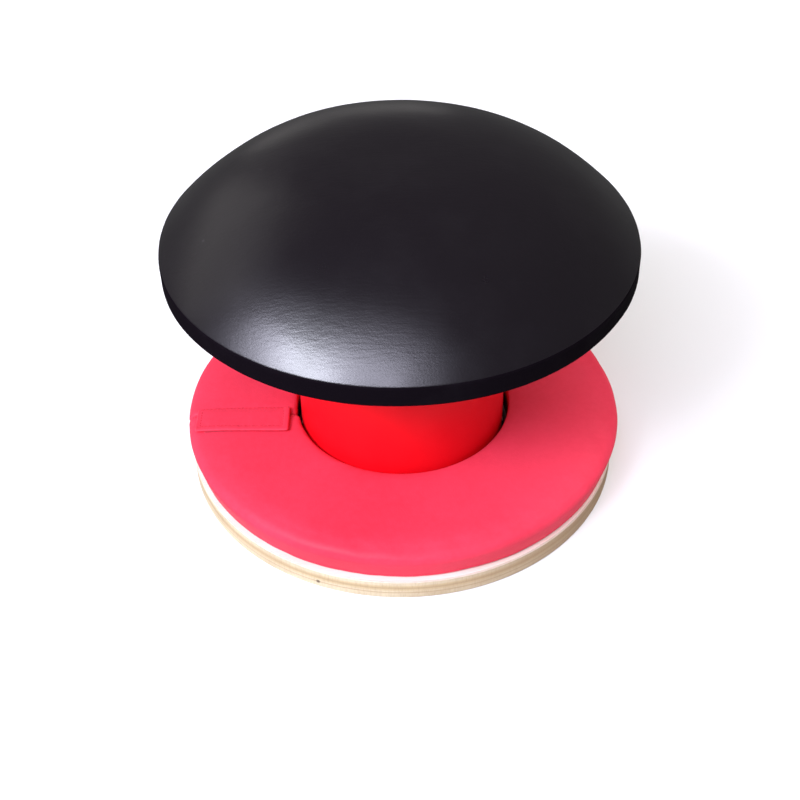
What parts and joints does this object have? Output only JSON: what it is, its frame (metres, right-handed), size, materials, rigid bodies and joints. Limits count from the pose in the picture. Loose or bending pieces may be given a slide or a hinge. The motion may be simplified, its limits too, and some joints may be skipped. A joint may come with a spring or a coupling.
{
  "type": "wall punch pad",
  "caption": "Round domed striking target on a sprung, foam-filled column standing on a plywood backboard, with a loose padded ring closed by a flap round its foot.",
  "frame": {"origin": "centre of the backboard's rear face, which lies against the wall or on the floor", "axes": "+Z along the column from the backboard to the domed target; +X right and +Y away from the viewer when the part lies on its back with the ring pad's flap on the left"},
  "size_m": [0.366, 0.3673, 0.2825],
  "materials": {
    "birch_ply": "bare birch plywood, sealed faces and sanded edges",
    "zinc_steel": "zinc-plated",
    "spring_steel": "black painted spring steel",
    "staple_wire": "bright wire",
    "column_foam": "open-cell foam",
    "pad_foam": "closed-cell foam",
    "dome_foam": "open-cell foam",
    "firm_foam": "firm closed-cell foam",
    "red_vinyl": "smooth bright red vinyl, semi-gloss",
    "coral_cover": "soft matte pinkish red artificial leather",
    "black_leather": "fine-grained black artificial leather, glossy",
    "black_lining": "woven lining",
    "loop_tape": "loop tape",
    "hook_tape": "hook tape"
  },
  "bodies": {
    "base": {"backboard": "birch_ply", "column_plug": "birch_ply", "plug_screws": "zinc_steel", "lower_spring_plate": "zinc_steel", "lower_spring_clamps": "zinc_steel", "lower_plate_bolts": "zinc_steel", "lower_bolt_washers": "zinc_steel", "lower_plate_nuts": "zinc_steel", "main_spring": "spring_steel", "foam_lower": "column_foam", "column_sleeve": "red_vinyl", "sleeve_foot_staples": "staple_wire"},
    "column_middle": {"foam_middle": "column_foam"},
    "column_top": {"foam_upper": "column_foam"},
    "target": {"target_board": "birch_ply", "upper_spring_plate": "zinc_steel", "upper_spring_clamps": "zinc_steel", "upper_plate_bolts": "zinc_steel", "upper_tee_nuts": "zinc_steel", "edge_padding": "dome_foam", "firm_foam_disc": "firm_foam", "dome_foam": "dome_foam", "head_cover": "black_leather", "rear_cover": "black_lining", "rear_staples": "staple_wire", "sleeve_head_staples": "staple_wire"},
    "ring_pad": {"pad_underside": "black_lining", "pad_foam": "pad_foam", "pad_cover": "coral_cover", "loop_strip": "loop_tape"},
    "flap": {"closure_flap": "coral_cover", "hook_strip": "hook_tape"}
  },
  "joints": [
    {"name": "target_compress", "type": "slide", "parent": "base", "child": "column_middle", "axis": [0, 0, -1], "range_m": [0, 0.025], "stiffness_N_per_m": 15000, "springref_m": -0.004, "deforming": ["main_spring", "foam_lower", "column_sleeve"]},
    {"name": "target_tilt_x", "type": "hinge", "parent": "column_middle", "child": "column_top", "pos_m": [0, 0, 0.108], "axis": [1, 0, 0], "range_deg": [-20, 20], "stiffness_Nm_per_rad": 150, "deforming": ["foam_middle"]},
    {"name": "target_tilt_y", "type": "hinge", "parent": "column_top", "child": "target", "pos_m": [0, 0, 0.168], "axis": [0, 1, 0], "range_deg": [-20, 20], "stiffness_Nm_per_rad": 150, "deforming": ["foam_upper"]},
    {"name": "pad_turn", "type": "hinge", "parent": "base", "child": "ring_pad", "pos_m": [0.0008, 0.0033, 0.018], "axis": [0, 0, 1], "continuous": true},
    {"name": "flap_peel", "type": "hinge", "parent": "ring_pad", "child": "flap", "pos_m": [-0.133, -0.009, 0.0486], "axis": [-1, 0, 0], "range_deg": [0, 160]}
  ]
}
